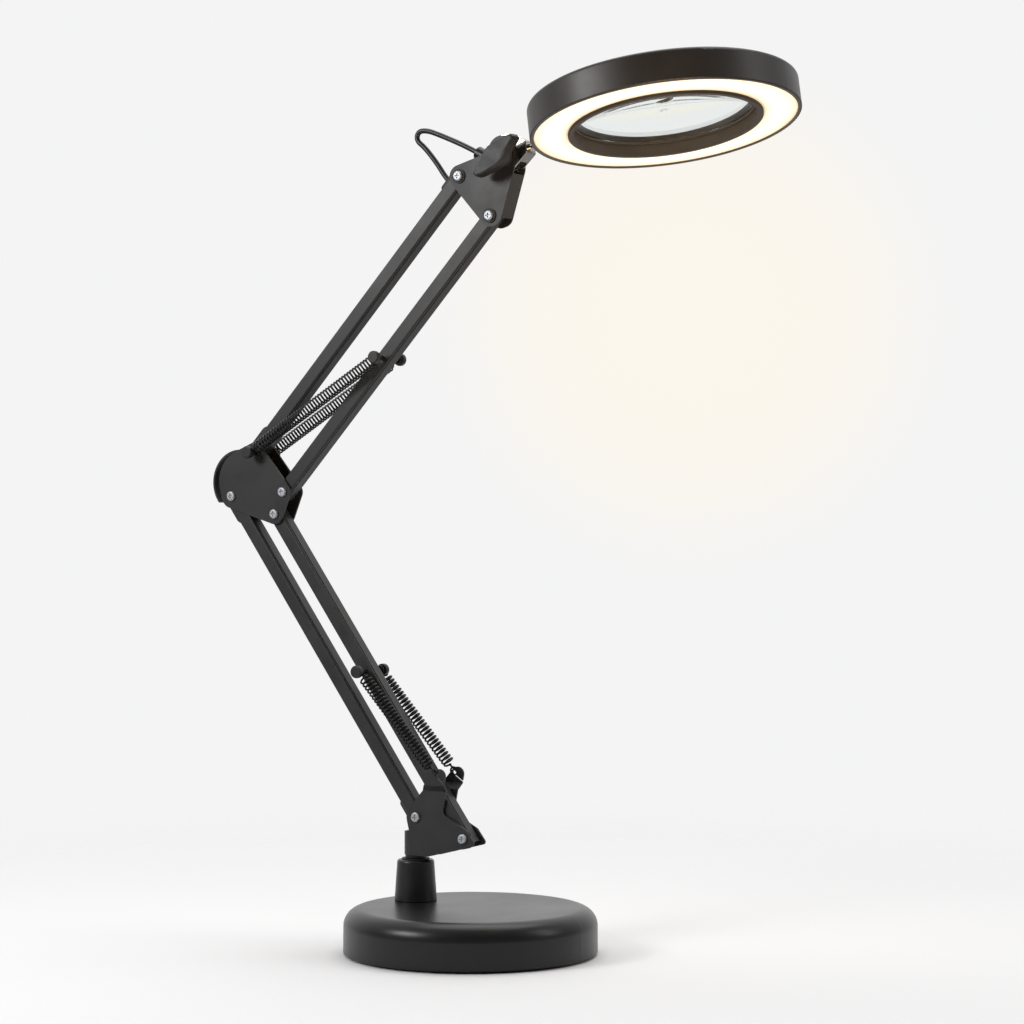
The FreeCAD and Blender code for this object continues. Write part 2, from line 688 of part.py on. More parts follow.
def elbow_plate(name, side):
    middle_y = side * value("gap_width / 2 + plate_thick / 2")
    body = new_body(name, ARM * move(0, middle_y))
    face = new_sketch(body, "XZ_Plane")
    add_belt(face, elbow_outline())
    pad(body, face, "plate_thick", middle=True)
    holes = new_sketch(body, "XZ_Plane")
    for pivot in (ELBOW_LEFT, ELBOW_RIGHT, ELBOW_UPPER, ELBOW_PIN):
        add_circle(holes, pivot[0], pivot[1], "bolt_radius + 0.05")
    cut(body, holes, middle=True)
    return body


elbow_front_plate = elbow_plate("elbow_front_plate", -1)
elbow_rear_plate = elbow_plate("elbow_rear_plate", 1)

# The spine is a bent strip that stands off the plates' round back and is tucked in at its top.
elbow_spine = new_body("elbow_spine", ARM)
band = new_sketch(elbow_spine, "XZ_Plane")
band_centre = vec(left.x + 6.2, left.z + 9.3)
band_out = 21.6
band_in = band_out - 1.3
band_from = math.radians(90)
band_to = math.radians(219)
for r in (band_in, band_out):
    band.addGeometry(Part.ArcOfCircle(Part.Circle(band_centre, vec(0, 0, 1), r), band_from, band_to))
for angle in (band_from, band_to):
    out = vec(math.cos(angle), math.sin(angle))
    band.addGeometry(Part.LineSegment(band_centre + out * band_in, band_centre + out * band_out))
pad(elbow_spine, band, "gap_width + 2 * plate_thick", middle=True)
tuck = half_in - 0.05
for start in (half_out + 0.1, -tuck):
    notch = new_sketch(elbow_spine, "XZ_Plane")
    notch.AttachmentOffset = move(0, 0, start)
    add_belt(notch, [(x, z, r + 0.05) for x, z, r in elbow_outline()])
    cut(elbow_spine, notch, half_out + 0.1 - tuck)

pivot_hardware("elbow", [ELBOW_LEFT, ELBOW_RIGHT, ELBOW_UPPER, ELBOW_PIN],
               [ELBOW_LEFT, ELBOW_RIGHT, ELBOW_UPPER])


# ---- pins with round knobs, where the springs hang -------------------------------------------

def pin_knob(place_xz, side):
    """Round push-on knob with a softened rim, closed at its outer end."""
    x, z = place_xz
    near = value("knob_from") if side > 0 else -value("knob_from + knob_thick")
    blank = doc.addObject("Part::Cylinder", "KnobBlank")
    blank.setExpression("Radius", bound("knob_radius"))
    blank.setExpression("Height", bound("knob_thick"))
    blank.Placement = FreeCAD.Placement(vec(x, near, z), FreeCAD.Rotation(vec(1, 0, 0), -90))
    doc.recompute()
    soft = doc.addObject("Part::Fillet", "KnobRound")
    soft.Base = blank
    rims = [i for i, e in enumerate(blank.Shape.Edges, start=1)
            if e.Curve.TypeId == "Part::GeomCircle"]
    soft.Edges = [(i, 0.9, 0.9) for i in rims]
    end = value("pin_end")
    socket = rod(x, -end if side < 0 else "0", z, "pin_radius + 0.02", end)
    return less(soft, socket)


def spring_pin(prefix, x, z, placement):
    shaft = rod(x, "-pin_end", z, "pin_radius", "2 * pin_end")
    shaft.Label = f"{prefix}_pin"
    shaft.Placement = placement * shaft.Placement
    set_of(f"{prefix}_knobs", [pin_knob((x, z), side) for side in (-1, 1)], placement)


def tube_point(pivot, degrees, distance, outward):
    """Arm-frame point on a tube, a distance from its foot pivot and out from its pivot line."""
    a = math.radians(degrees)
    at = spot(pivot)
    return vec(at.x + distance * math.cos(a) - outward * math.sin(a), 0,
               at.z + distance * math.sin(a) + outward * math.cos(a))


shift = value("hole_shift")
low_pin = tube_point(FOOT_RIGHT, LOWER_SLOPE, value("low_pin_at"), shift)
up_pin = tube_point(ELBOW_UPPER, UPPER_SLOPE, value("up_pin_at"), shift)
spring_pin("lower_spring", low_pin.x, low_pin.z, ARM)
spring_pin("upper_spring", up_pin.x, up_pin.z, ARM)
spring_pin("elbow", pin.x, pin.z, ARM)


# ---- springs: a sleeve of the coils' size, with the wire's end loops -------------------------

COIL_BACK = 5.0          # coils start this far from a pin's centre


def bar_between(a, b, radius):
    return Part.makeCylinder(radius, (b - a).Length, a, b - a)


def end_loop(centre, way, radius):
    """Wire loop round a pin, with a short shank towards the coils."""
    wire = value("spring_wire")
    loop = Part.makeTorus(radius, wire, centre, vec(0, 1, 0))
    shank = bar_between(centre + way * radius, centre + way * (COIL_BACK + 1.0), wire)
    return loop.fuse(shank)


def spring(name, start, end, side, hooked):
    y = side * value("spring_y")
    a = vec(start.x, y, start.z)
    b = vec(end.x, y, end.z)
    way = (b - a).normalize()
    outer = value("spring_radius")
    inner = outer - 2 * value("spring_wire")
    first = a + way * COIL_BACK
    last = b - way * (COIL_BACK + (1.5 if hooked else 0))
    long = (last - first).Length
    coils = Part.makeCylinder(outer, long, first, way)
    coils = coils.cut(Part.makeCylinder(inner, long - 2.0, first + way * 1.0, way))
    wire = value("spring_wire")
    shape = coils.fuse(end_loop(a, way, 2.6))
    if hooked:
        # the far end is a hook that passes through the bracket's ear
        inside = vec(b.x, side * (EAR_Y - 2.0), b.z)
        outside = vec(b.x, side * (EAR_Y + 2.0), b.z)
        shape = shape.fuse(bar_between(last + way * -0.5, outside, wire))
        shape = shape.fuse(Part.makeSphere(wire, outside))
        shape = shape.fuse(bar_between(outside, inside, wire))
    else:
        shape = shape.fuse(end_loop(b, way * -1, 2.6))
    return from_shape(name, shape.removeSplitter(), ARM)


ear = spot(EAR)
for side, word in ((-1, "front"), (1, "rear")):
    spring(f"lower_spring_{word}", low_pin, ear, side, hooked=True)
    spring(f"upper_spring_{word}", pin, up_pin, side, hooked=False)


# ---- head bracket, clamp and yoke ------------------------------------------------------------

p7 = spot(HEAD_LEFT)
p8 = spot(HEAD_RIGHT)
tilt = spot(TILT)
WEB_TOP = tilt.z - 10.0
WEB_FOOT = p8.z - 1.4
WEB_BEND = 6.6
head_bracket = new_body("head_bracket", ARM)
face = new_sketch(head_bracket, "XZ_Plane")
web_low = vec(p8.x + 2.1, 0, p8.z + 0.4)
web_high = vec(tilt.x + 0.1, 0, tilt.z - 6.0)
add_belt(face, [
    (p8.x, p8.z, 6.8), (web_low.x, web_low.z, WEB_BEND), (web_high.x, web_high.z, WEB_BEND),
    (tilt.x - 2.7, tilt.z + 4.8, 9.4), (tilt.x - 17.6, tilt.z + 8.9, -6.0), (p7.x, p7.z, 7.2)])
pad(head_bracket, face, "gap_width + 2 * plate_thick", middle=True)
hollow = new_sketch(head_bracket, "XZ_Plane")
web_way = (web_high - web_low).normalize()
web_face = web_low + vec(web_way.z, 0, -web_way.x) * (WEB_BEND - value("plate_thick"))


def web_x(height):
    return web_face.x + (height - web_face.z) * web_way.x / web_way.z


far = 40.0
add_polygon(hollow, [
    (p7.x - far, p8.z - far), (tilt.x + far, p8.z - far), (tilt.x + far, WEB_FOOT),
    (web_x(WEB_FOOT), WEB_FOOT), (web_x(WEB_TOP), WEB_TOP), (tilt.x + far, WEB_TOP),
    (tilt.x + far, tilt.z + far), (p7.x - far, tilt.z + far)])
cut(head_bracket, hollow, "gap_width", middle=True)
holes = new_sketch(head_bracket, "XZ_Plane")
for pivot in (HEAD_LEFT, HEAD_RIGHT):
    add_circle(holes, pivot[0], pivot[1], "bolt_radius + 0.05")
add_circle(holes, TILT[0], TILT[1], "clamp_radius + 0.05")
cut(head_bracket, holes, middle=True)
pivot_hardware("head_pivot", [HEAD_LEFT, HEAD_RIGHT], [HEAD_LEFT, HEAD_RIGHT], pack=0.8)
set_of("bolt_rings",
       [ring_piece(p, f"-({PLATE_OUT}) - 0.8", "4.6", "bolt_radius + 0.05", "0.8")
        for p in (HEAD_LEFT, HEAD_RIGHT)], ARM)

# The clamp screw runs right through; its hexagon head is behind, the wing knob in front.
screw_shank = rod(TILT[0], "-20", TILT[1], "clamp_radius", f"20 + {PLATE_OUT}")
screw_head = doc.addObject("Part::Prism", "ScrewHead")
screw_head.Polygon = 6
screw_head.Circumradius = 8.0 / math.sqrt(3)
screw_head.Height = 3.4
screw_head.Placement = FreeCAD.Placement(vec(tilt.x, value(PLATE_OUT), tilt.z),
                                         FreeCAD.Rotation(vec(1, 0, 0), -90))
fused("clamp_screw", [screw_shank, screw_head], ARM)

KNOB_SEAT = value(PLATE_OUT) + 0.3
KNOB_TURN = 43.0
clamp_knob = new_body("clamp_knob", ARM * move(tilt.x, -KNOB_SEAT, tilt.z)
                      * turn(vec(0, 1, 0), -KNOB_TURN))
hub = new_sketch(clamp_knob, "XZ_Plane")
add_circle(hub, "0", "0", "6.2")
pad(clamp_knob, hub, 7)
wings = new_sketch(clamp_knob, "XZ_Plane")
wings.AttachmentOffset = move(0, 0, 5.0)
add_belt(wings, [(-15.4, 0.6, 4.4), (-7.0, -4.4, 3.0), (7.0, -4.4, 3.0), (15.4, -0.6, 4.4),
                 (7.0, 4.4, 3.0), (-7.0, 4.4, 3.0)])
pad(clamp_knob, wings, 10)
knob_front = -15.0
round_edges(clamp_knob, lambda e: max(v.Y for v in e.Vertexes) < knob_front + 1e-4, 1.4)
knob_bore = new_sketch(clamp_knob, "XZ_Plane")
add_circle(knob_bore, "0", "0", "clamp_radius + running_gap")
cut(clamp_knob, knob_bore, 13.5, reverse=True)

# Yoke: two round cheeks joined by a neck that holds the stem.
LIFT = value("head_lift")
LEAN = value("head_lean")
YOKE = ARM * move(tilt.x, 0, tilt.z) * turn(vec(0, 1, 0), -LIFT)
head_yoke = new_body("head_yoke", YOKE)
rise = value("cheek_rise")
cheek = new_sketch(head_yoke, "XZ_Plane")
add_belt(cheek, [(0, rise, value("cheek_radius")), (14.0, rise - 3.0, 1.6), (14.0, rise + 3.0, 1.6)])
pad(head_yoke, cheek, "gap_width - 0.5", middle=True)
fork = new_sketch(head_yoke, "XZ_Plane")
add_polygon(fork, [("-30", "-30"), ("9.2", "-30"), ("9.2", "30"), ("-30", "30")])
cut(head_yoke, fork, "gap_width - 3.2", middle=True)
bore = new_sketch(head_yoke, "YZ_Plane")
add_circle(bore, "0", "cheek_rise", "stem_radius + running_gap")
cut(head_yoke, bore, reverse=True)
pivot_hole = new_sketch(head_yoke, "XZ_Plane")
add_circle(pivot_hole, "0", "0", "clamp_radius + running_gap")
cut(head_yoke, pivot_hole, middle=True)
round_edges(head_yoke, lambda e: e.Curve.TypeId == "Part::GeomCircle"
            and abs(e.Curve.Radius - value("cheek_radius")) < 1e-3
            and abs(abs(e.CenterOfMass.y) - value("gap_width - 0.5") / 2) < 1e-2, 0.5)

# ---- ring head -------------------------------------------------------------------------------

STEM = YOKE * move(0, 0, rise) * turn(vec(1, 0, 0), -LEAN)
RING = STEM * move(value("head_reach"), 0, -value("stem_level"))

head_stem = new_body("head_stem", STEM)
stem_face = new_sketch(head_stem, "YZ_Plane")
add_circle(stem_face, "0", "0", "stem_radius")
add_circle(stem_face, "0", "0", "cord_radius")
stem_face.AttachmentOffset = move(0, 0, 9.6)
pad(head_stem, stem_face, "head_reach - ring_radius + 5.4 - 9.6")
flange = new_sketch(head_stem, "YZ_Plane")
add_circle(flange, "0", "0", "stem_radius + 1.9")
add_circle(flange, "0", "0", "stem_radius - 0.2")
flange.AttachmentOffset = move(0, 0, value("head_reach - ring_radius") - 2.3)
pad(head_stem, flange, 2.0)

head_housing = new_body("head_housing", RING)
revolve(head_housing, [
    ("collar_inner + 2.2", "ring_thick - 2.2"), ("ring_radius - ring_wall", "ring_thick - 2.2"),
    ("ring_radius - ring_wall", "0"), ("ring_radius", "0"), ("ring_radius", "ring_thick"),
    ("collar_inner + 2.2", "ring_thick")])
round_edges(head_housing, rim_at(value("ring_radius"), value("ring_thick")), 2.6)
round_edges(head_housing, rim_at(value("ring_radius"), 0.0), 0.8)
stem_hole = new_sketch(head_housing, "YZ_Plane")
add_circle(stem_hole, "0", "stem_level", "stem_radius + 0.05")
cut(head_housing, stem_hole)

inner_collar = new_body("inner_collar", RING)
SEAT = "lens_level - lens_edge / 2 - 0.2"
revolve(inner_collar, [
    ("collar_inner", "-0.8"), ("collar_outer", "-0.8"), ("collar_outer", "3.4"),
    ("collar_inner + 2.1", "3.4"), ("collar_inner + 2.1", "ring_thick - 0.4"),
    ("collar_inner", "ring_thick - 0.4"), ("collar_inner", SEAT),
    ("collar_inner - 1.4", SEAT), ("collar_inner - 1.4", f"{SEAT} - 1.6"),
    ("collar_inner", f"{SEAT} - 1.6")])
round_edges(inner_collar, rim_at(value("collar_outer"), -0.8), 0.7)

# Double convex lens: a disc cut to two shallow domes.
bulge = value("lens_bulge")
rim = value("lens_radius")
dome = (rim ** 2 + bulge ** 2) / (2 * bulge)
half_edge = value("lens_edge") / 2
lens_body = new_body("lens", RING * move(0, 0, value("lens_level")))
lens_profile = new_sketch(lens_body, "XZ_Plane")
top_y = half_edge + bulge
spread = math.asin(rim / dome)
up = math.pi / 2
lens_profile.addGeometry(Part.ArcOfCircle(
    Part.Circle(vec(0, top_y - dome), vec(0, 0, 1), dome), up - spread, up))
lens_profile.addGeometry(Part.ArcOfCircle(
    Part.Circle(vec(0, dome - top_y), vec(0, 0, 1), dome), -up, spread - up))
lens_profile.addGeometry(Part.LineSegment(vec(rim, -half_edge), vec(rim, half_edge)))
lens_profile.addGeometry(Part.LineSegment(vec(0, top_y), vec(0, -top_y)))
lens_turn = lens_body.newObject("PartDesign::Revolution", "Revolution")
lens_turn.Profile = lens_profile
lens_turn.ReferenceAxis = (lens_profile, ["V_Axis"])
lens_turn.Angle = 360

lens_retainer = new_body("lens_retainer", RING)
RETAIN = "lens_level + lens_edge / 2 + 0.2"
revolve(lens_retainer, [
    ("collar_inner - 1.5", RETAIN), ("collar_inner - 0.05", RETAIN),
    ("collar_inner - 0.05", f"{RETAIN} + 1.8"), ("collar_inner - 1.5", f"{RETAIN} + 1.8")])

led_board = new_body("led_board", RING)
revolve(led_board, [("61.5", "ring_thick - 4.4"), ("76.5", "ring_thick - 4.4"),
                    ("76.5", "ring_thick - 2.8"), ("61.5", "ring_thick - 2.8")])

LED_COUNT = 48
led_row = []
for i in range(LED_COUNT):
    chip = doc.addObject("Part::Box", "Chip")
    chip.Length = 3.5
    chip.Width = 2.8
    chip.Height = 0.8
    corner = move(69.0 - 1.75, -1.4, value("ring_thick") - 4.4 - 0.8)
    chip.Placement = turn(vec(0, 0, 1), 360.0 / LED_COUNT * i) * corner
    led_row.append(chip)
set_of("leds", led_row, RING)

diffuser = new_body("diffuser", RING)
revolve(diffuser, [
    ("collar_outer + 0.1", "0.9"), ("ring_radius - ring_wall - 0.1", "0.9"),
    ("ring_radius - ring_wall - 0.1", "3.1"), ("collar_outer + 0.1", "3.1")])


# ---- leads outside the tubes -----------------------------------------------------------------

loop_start = tube_point(ELBOW_PIN, UPPER_SLOPE, value(UPPER_LONG) - value("mouth_back"), 4.9)
# The sheathed lead rises from its guide in an open loop and dips into the head bracket.
CORD_LOOP = [
    (loop_start.x, loop_start.z), (22.9, 491.3), (16.4, 500.8), (6.9, 511.9), (0.4, 516.9),
    (1.9, 522.6), (8.8, 522.6), (16.9, 519.6), (30.0, 514.0), (41.4, 508.6), (49.6, 504.2)]
cord_radius = value("cord_radius")
loop_points = [vec(x, 0, z) for x, z in CORD_LOOP]
from_shape("head_cord_loop", bent_tube(loop_points, cord_radius, "head_cord_loop"), ARM)

# Grommet block between the plates: the loop ends in it.
last_run = (loop_points[-1] - loop_points[-2]).normalize()
grommet_at = loop_points[-1] - last_run * 3.0
grommet_face = Part.makeCylinder(4.2, 8.0, grommet_at, last_run)
grommet = grommet_face.cut(Part.makeCylinder(cord_radius + 0.05, 3.0, grommet_at, last_run))
from_shape("cord_grommet", grommet, ARM)

# Behind the spine the unsheathed lead crosses from one tube's end to the other's.
elbow_from = tube_point(FOOT_LEFT, LOWER_SLOPE, value(LOWER_LONG) + past + 0.3, LEAD_LEVEL)
elbow_to = tube_point(ELBOW_PIN, UPPER_SLOPE, -past - 0.3, LEAD_LEVEL)
lead_low = [elbow_from, elbow_from + vec(-2.6, 0, 3.6), elbow_from + vec(-1.2, 0, 8.6),
            elbow_from + vec(3.4, 0, 12.0)]
lead_high = [lead_low[-1] + vec(0.5, 0, 0.25), lead_low[-1] + vec(4.6, 0, 1.4),
             elbow_to + vec(-3.4, 0, -4.2), elbow_to]
lead_radius = value("lead_radius")
from_shape("elbow_lead_lower", bent_tube(lead_low, lead_radius, "elbow_lead_lower"), ARM)
from_shape("elbow_lead_upper", bent_tube(lead_high, lead_radius, "elbow_lead_upper"), ARM)


# ---- check and write -------------------------------------------------------------------------

NODES = [
    "base_pad", "base_bottom_plate", "base_weight", "base_cover", "post_socket", "socket_bush",
    "swivel_pin", "lower_bracket", "lower_pivot_bolts", "lower_pivot_nuts",
    "lower_pivot_sleeves", "lower_pivot_washers",
    "lower_left_tube", "lower_guide_bottom", "lower_guide_top", "lower_lead",
    "lower_right_tube", "lower_spring_pin", "lower_spring_knobs",
    "lower_spring_front", "lower_spring_rear",
    "elbow_front_plate", "elbow_rear_plate", "elbow_spine", "elbow_bolts", "elbow_nuts",
    "elbow_sleeves", "elbow_washers", "elbow_pin", "elbow_knobs",
    "elbow_lead_lower", "elbow_lead_upper",
    "upper_left_tube", "upper_guide_bottom", "upper_guide_top", "upper_lead", "head_cord_loop",
    "upper_right_tube", "upper_spring_pin", "upper_spring_knobs",
    "upper_spring_front", "upper_spring_rear",
    "head_bracket", "head_pivot_bolts", "head_pivot_nuts", "head_pivot_sleeves",
    "head_pivot_washers", "bolt_rings", "clamp_screw", "cord_grommet",
    "clamp_knob", "head_yoke",
    "head_stem", "head_housing", "inner_collar", "lens", "lens_retainer", "led_board", "leds",
    "diffuser",
]

doc.recompute()
failed = [o.Label for o in doc.Objects if {"Invalid", "Error"} & set(o.State)]
if failed:
    raise RuntimeError(f"objects failed to recompute: {failed}")
os.makedirs("parts", exist_ok=True)
for name in NODES:
    node = doc.getObjectsByLabel(name)[0]
    if node.Shape.isNull() or not node.Shape.isValid():
        raise RuntimeError(f"{name} has no valid shape")
    node.Shape.exportStep(f"parts/{name}.step")
print(len(NODES), "nodes written")
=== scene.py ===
import json
import math

import bmesh
import bpy
from mathutils import Matrix, Vector


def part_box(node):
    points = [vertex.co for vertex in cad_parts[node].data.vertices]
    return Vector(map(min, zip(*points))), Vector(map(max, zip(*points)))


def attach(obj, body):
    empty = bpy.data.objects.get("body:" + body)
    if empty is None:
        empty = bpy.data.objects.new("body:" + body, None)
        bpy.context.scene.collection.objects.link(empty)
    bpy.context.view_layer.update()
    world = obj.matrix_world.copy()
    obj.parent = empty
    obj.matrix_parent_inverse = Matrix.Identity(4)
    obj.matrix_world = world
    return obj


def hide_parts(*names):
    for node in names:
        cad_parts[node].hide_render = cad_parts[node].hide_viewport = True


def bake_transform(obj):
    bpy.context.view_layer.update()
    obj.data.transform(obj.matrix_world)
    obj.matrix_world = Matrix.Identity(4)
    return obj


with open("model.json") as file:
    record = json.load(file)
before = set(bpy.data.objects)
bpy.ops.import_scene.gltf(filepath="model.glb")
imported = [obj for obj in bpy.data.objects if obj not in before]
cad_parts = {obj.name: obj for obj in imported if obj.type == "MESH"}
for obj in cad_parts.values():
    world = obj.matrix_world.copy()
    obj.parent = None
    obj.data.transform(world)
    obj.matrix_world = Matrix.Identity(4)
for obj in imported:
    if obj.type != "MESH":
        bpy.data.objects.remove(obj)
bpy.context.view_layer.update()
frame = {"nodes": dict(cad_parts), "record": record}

# Places in the row frame, in metres. The arm lies in the plane y = MID_Y; "arm" points are given
# in millimetres from the foot of the post's axis, as the CAD gives them.
MID_X, MID_Y = -0.0463, 0.0077

# In the same millimetres (x, z): each tube's lower pivot, and where the tube goes from it.
LEFT_FOOT, RIGHT_FOOT = (5.0, 83.4), (40.2, 71.4)
LEFT_ELBOW, RIGHT_ELBOW = (-123.0, 318.0), (-100.2, 291.7)
LOWER_REACH, UPPER_REACH = (-147.0, 205.8), (160.3, 172.6)


def arm(x, z, y=0.0):
    return Vector((MID_X + x / 1000, MID_Y + y / 1000, z / 1000))


def along_tube(pivot, reach, distance, outward):
    """Arm point that far along a tube from its pivot, and outward from the tube's middle."""
    way = Vector((reach[0], 0, reach[1])).normalized()
    out = Vector((-way.z, 0, way.x))
    at = Vector((pivot[0], 0, pivot[1])) + way * distance + out * outward
    return at.x, at.z


# ---- materials -------------------------------------------------------------------------------

def new_material(name):
    """Material with its node tree, its shader, and the object-space place on the surface."""
    material = bpy.data.materials.new(name)
    material.use_nodes = True
    tree = material.node_tree
    shader = tree.nodes["Principled BSDF"]
    place = tree.nodes.new("ShaderNodeTexCoord").outputs["Object"]
    return material, tree, shader, place


def grain(tree, place, scale, detail=3.0, rough=0.55, stretch=None):
    """Noise in object space; stretch scales it along each axis."""
    where = place
    if stretch is not None:
        mapping = tree.nodes.new("ShaderNodeMapping")
        mapping.inputs["Scale"].default_value = stretch
        tree.links.new(place, mapping.inputs["Vector"])
        where = mapping.outputs["Vector"]
    texture = tree.nodes.new("ShaderNodeTexNoise")
    texture.inputs["Scale"].default_value = scale
    texture.inputs["Detail"].default_value = detail
    texture.inputs["Roughness"].default_value = rough
    tree.links.new(where, texture.inputs["Vector"])
    return texture.outputs["Fac"]


def ramp(tree, value, stops):
    """Colour ramp over a value; stops are (position, colour)."""
    node = tree.nodes.new("ShaderNodeValToRGB")
    elements = node.color_ramp.elements
    while len(elements) < len(stops):
        elements.new(0.5)
    for element, (position, colour) in zip(elements, stops):
        element.position = position
        element.color = (*colour, 1.0)
    tree.links.new(value, node.inputs["Fac"])
    return node.outputs["Color"]


def between(tree, value, low, high):
    """A value from 0.3-0.7 spread over low-high."""
    node = tree.nodes.new("ShaderNodeMapRange")
    node.inputs["From Min"].default_value = 0.3
    node.inputs["From Max"].default_value = 0.7
    node.inputs["To Min"].default_value = low
    node.inputs["To Max"].default_value = high
    tree.links.new(value, node.inputs["Value"])
    return node.outputs["Result"]


def bump(tree, shader, height, strength, distance):
    """Relief on the shader's normal; distance is in metres."""
    node = tree.nodes.new("ShaderNodeBump")
    node.inputs["Strength"].default_value = strength
    node.inputs["Distance"].default_value = distance
    tree.links.new(height, node.inputs["Height"])
    tree.links.new(node.outputs["Normal"], shader.inputs["Normal"])


def finish_of(name, dark, light, roughness, metallic=0.0, blotch=60.0, fine=2600.0,
              relief=0.1, depth=0.00004, coat=0.0, specular=0.5, stretch=None):
    """Painted, plastic or metal surface: two tones in soft blotches under a fine grain."""
    material, tree, shader, place = new_material(name)
    wide = grain(tree, place, blotch, 4.0, 0.6)
    small = grain(tree, place, fine, 2.0, 0.5, stretch)
    tree.links.new(ramp(tree, wide, [(0.3, dark), (0.7, light)]), shader.inputs["Base Color"])
    tree.links.new(between(tree, wide, roughness[0], roughness[1]), shader.inputs["Roughness"])
    shader.inputs["Metallic"].default_value = metallic
    shader.inputs["Specular IOR Level"].default_value = specular
    shader.inputs["Coat Weight"].default_value = coat
    shader.inputs["Coat Roughness"].default_value = 0.3
    bump(tree, shader, small, relief, depth)
    return material


def grey(value):
    """Grey with a trace of blue, as the black paint and plastic have."""
    return (value, value, value * 1.03)


LOOKS = {
    "pad_foam": finish_of("pad_foam", grey(0.012), grey(0.022), (0.8, 0.95), fine=1400,
                          relief=0.5, depth=0.0002),
    "zinc_sheet": finish_of("zinc_sheet", (0.42, 0.43, 0.45), (0.6, 0.61, 0.63), (0.25, 0.42),
                            1.0, blotch=90, fine=1800),
    "cast_weight": finish_of("cast_weight", grey(0.05), grey(0.11), (0.6, 0.85), 0.6,
                             fine=700, relief=0.6, depth=0.0004),
    "satin_black_base": finish_of("satin_black_base", grey(0.0080), grey(0.0110), (0.30, 0.35),
                                  blotch=26, fine=3200, relief=0.06, depth=0.00002,
                                  specular=0.4),
    "satin_black_socket": finish_of("satin_black_socket", grey(0.009), grey(0.012),
                                    (0.34, 0.42), fine=2600, specular=0.5),
    "nylon_black": finish_of("nylon_black", grey(0.010), grey(0.016), (0.5, 0.62)),
    "black_steel": finish_of("black_steel", grey(0.014), grey(0.022), (0.33, 0.46), 0.35,
                             blotch=160),
    "bracket_paint": finish_of("bracket_paint", grey(0.019), grey(0.027), (0.40, 0.52),
                               blotch=45, fine=2400, relief=0.16, depth=0.00005),
    "tube_paint": finish_of("tube_paint", grey(0.021), grey(0.029), (0.38, 0.50),
                            blotch=38, fine=2400, relief=0.16, depth=0.00005),
    "zinc_bolt": finish_of("zinc_bolt", (0.42, 0.44, 0.47), (0.58, 0.60, 0.63), (0.46, 0.58),
                           1.0, blotch=700, fine=3000),
    "zinc_sleeve": finish_of("zinc_sleeve", (0.45, 0.46, 0.48), (0.62, 0.63, 0.65),
                             (0.3, 0.45), 1.0),
    "guide_plastic": finish_of("guide_plastic", grey(0.013), grey(0.020), (0.45, 0.58),
                               fine=1500, relief=0.2),
    "wire_jacket": finish_of("wire_jacket", grey(0.012), grey(0.018), (0.4, 0.52)),
    "cord_rubber": finish_of("cord_rubber", grey(0.010), grey(0.016), (0.32, 0.44),
                             blotch=120, fine=1200),
    "spring_steel": finish_of("spring_steel", grey(0.010), grey(0.017), (0.3, 0.42), 0.4,
                              blotch=200),
    "knob_cap_plastic": finish_of("knob_cap_plastic", grey(0.012), grey(0.019), (0.4, 0.52),
                                  fine=1700, relief=0.18),
    "knob_plastic": finish_of("knob_plastic", grey(0.015), grey(0.022), (0.42, 0.54),
                              blotch=110, fine=1500, relief=0.22, depth=0.00006),
    "washer_black": finish_of("washer_black", grey(0.006), grey(0.011), (0.5, 0.65)),
    "nickel": finish_of("nickel", (0.40, 0.37, 0.34), (0.52, 0.49, 0.45), (0.14, 0.24), 1.0,
                        blotch=90, fine=2600, relief=0.05),
    "head_shell": finish_of("head_shell", (0.023, 0.020, 0.018), (0.031, 0.027, 0.024),
                            (0.38, 0.48), blotch=30, fine=2600, relief=0.14, depth=0.00004),
    "head_collar": finish_of("head_collar", (0.022, 0.019, 0.016), (0.030, 0.026, 0.022),
                             (0.50, 0.62), blotch=50, fine=2600, relief=0.12, specular=0.35),
    "circuit_board": finish_of("circuit_board", (0.74, 0.74, 0.70), (0.86, 0.86, 0.82),
                               (0.35, 0.5)),
    "led_chip": finish_of("led_chip", (0.8, 0.62, 0.2), (0.95, 0.8, 0.35), (0.3, 0.4),
                          blotch=400),
}


# Below glass's 1.5, which fills the rim with a dark crescent that the photograph doesn't show.
LENS_INDEX = 1.2


def lens_glass():
    """Clear glass with a faint green body and a few soft smears."""
    material, tree, shader, place = new_material("lens_glass")
    smears = grain(tree, place, 34.0, 3.0, 0.5, (1.0, 3.0, 1.0))
    shader.inputs["Base Color"].default_value = (0.93, 0.965, 0.95, 1.0)
    tree.links.new(between(tree, smears, 0.0, 0.012), shader.inputs["Roughness"])
    shader.inputs["IOR"].default_value = LENS_INDEX
    shader.inputs["Transmission Weight"].default_value = 1.0
    return material


RING_LOW, RING_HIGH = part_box("diffuser")
RING_MIDDLE = (RING_LOW + RING_HIGH) / 2
RING_INNER, RING_OUTER = 0.0599, 0.0806     # radii of the lit band
RING_LIFT, RING_LEAN = math.radians(10.3), math.radians(5.1)
DIFFUSER_GLOW = 0.80


